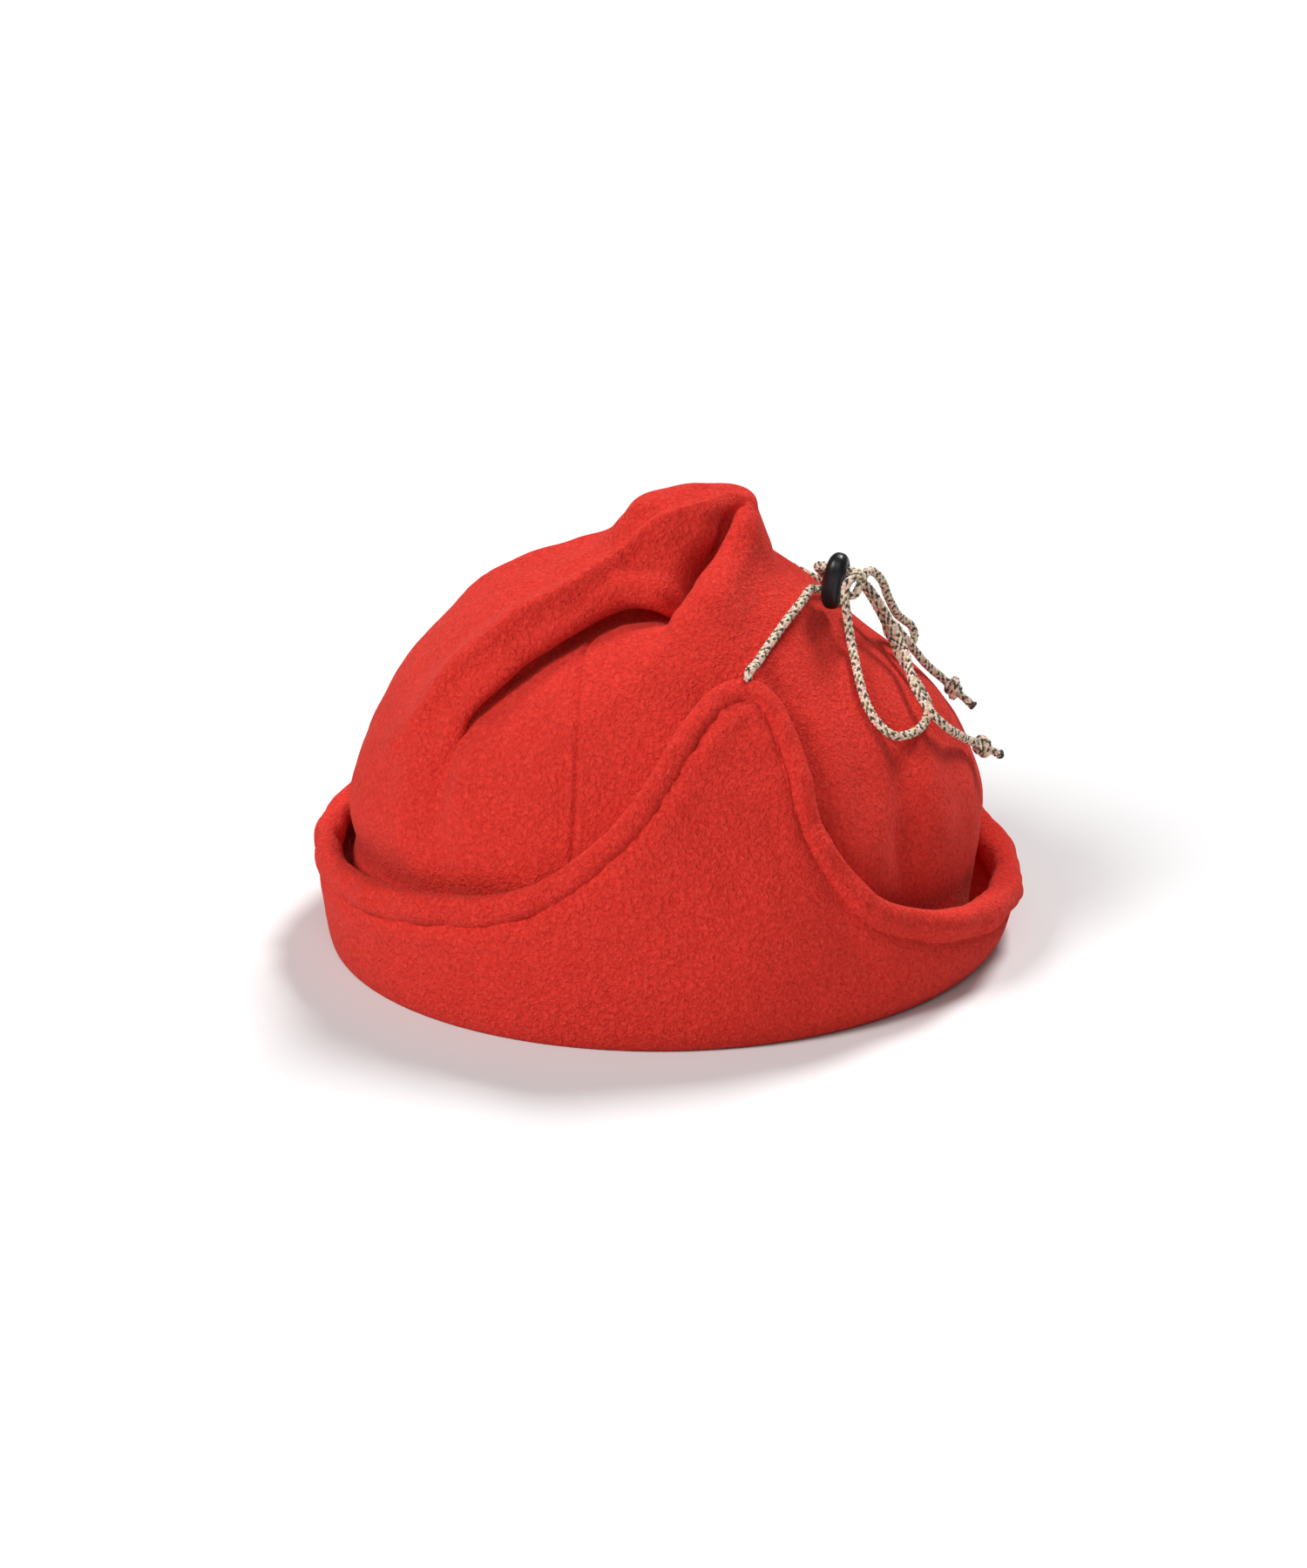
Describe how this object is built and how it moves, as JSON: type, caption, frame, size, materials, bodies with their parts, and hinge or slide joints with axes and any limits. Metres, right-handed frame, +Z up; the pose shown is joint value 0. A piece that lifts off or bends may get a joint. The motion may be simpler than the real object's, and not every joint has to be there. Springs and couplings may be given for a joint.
{
  "type": "fleece beanie with ear flaps",
  "caption": "Fleece beanie with a pinched crown and a turned-up edge whose ear flaps are tied up over the back by flecked cords through a stopper.",
  "frame": {"origin": "centre of the base on the floor, of the box without the cords and what is on them", "axes": "+Z up, -Y towards the front of the hat, +X towards the wearer's left, which is the near side in the picture"},
  "size_m": [0.197, 0.2185, 0.141],
  "materials": {
    "fleece": "soft polar fleece with a fine pebbled nap",
    "hem_fleece": "soft polar fleece, turned over and stitched",
    "cord": "braided beige cord with dark and coloured flecks",
    "lock": "black moulded plastic, satin"
  },
  "bodies": {
    "root": {"crown": "fleece", "cuff": "fleece", "hem": "hem_fleece", "near_cord": "cord", "far_cord": "cord", "near_knot": "cord", "far_knot": "cord", "cord_lock": "lock"}
  },
  "joints": []
}
